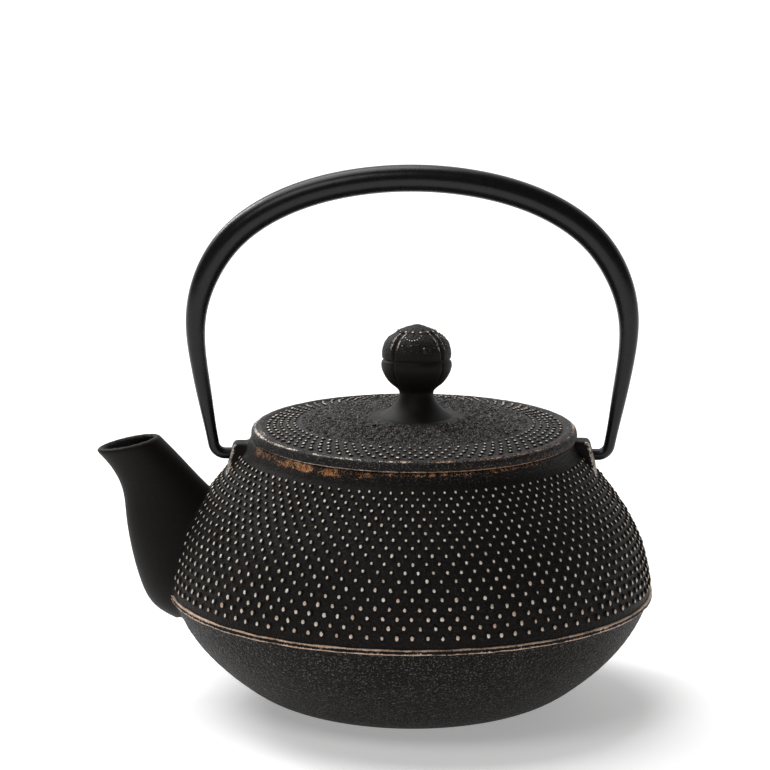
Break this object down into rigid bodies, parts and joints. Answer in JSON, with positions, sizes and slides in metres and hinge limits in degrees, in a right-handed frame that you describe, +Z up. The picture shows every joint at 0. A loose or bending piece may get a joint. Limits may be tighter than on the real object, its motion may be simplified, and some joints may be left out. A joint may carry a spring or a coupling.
{
  "type": "teapot",
  "caption": "Round cast iron teapot with a short spout, studded shoulder, domed lid with a plum-bud knob, arched steel bail and a mesh infuser basket.",
  "frame": {"origin": "centre of the flat base, on the surface that the pot stands on", "axes": "+Z up; the spout points along -X and the bail's hinge line runs along X; +Y is to the pot's back when the spout is to the left"},
  "size_m": [0.1724, 0.15, 0.1668],
  "materials": {
    "black_iron": "black satin lacquer over sand-cast grain, worn to copper on the nubs and edges",
    "lid_iron": "black satin lacquer over sand-cast grain, worn edges",
    "enamel": "glossy black vitreous enamel",
    "bail_steel": "satin black",
    "stainless": "pressed and brushed",
    "stainless_mesh": "fine woven wire",
    "zinc_steel": "zinc plated"
  },
  "bodies": {
    "pot": {"bowl_casting": "black_iron", "shoulder_casting": "black_iron", "spout_casting": "black_iron", "enamel_lining": "enamel"},
    "infuser": {"infuser_rim": "stainless", "infuser_mesh_wall": "stainless_mesh", "infuser_base_ring": "stainless", "infuser_mesh_floor": "stainless_mesh", "infuser_seam": "stainless"},
    "lid": {"lid_casting": "lid_iron", "plum_knob": "lid_iron", "knob_stud": "zinc_steel", "stud_washer": "zinc_steel", "stud_nut": "zinc_steel"},
    "bail": {"bail": "bail_steel"}
  },
  "joints": [
    {"name": "bail_swing", "type": "hinge", "parent": "pot", "child": "bail", "pos_m": [0, 0, 0.0772], "axis": [1, 0, 0], "range_deg": [-110, 110]},
    {"name": "infuser_lift", "type": "slide", "parent": "pot", "child": "infuser", "axis": [0, 0, 1], "range_m": [0, 0.038]},
    {"name": "lid_lift", "type": "slide", "parent": "infuser", "child": "lid", "axis": [0, 0, 1], "range_m": [0, 0.038]}
  ]
}
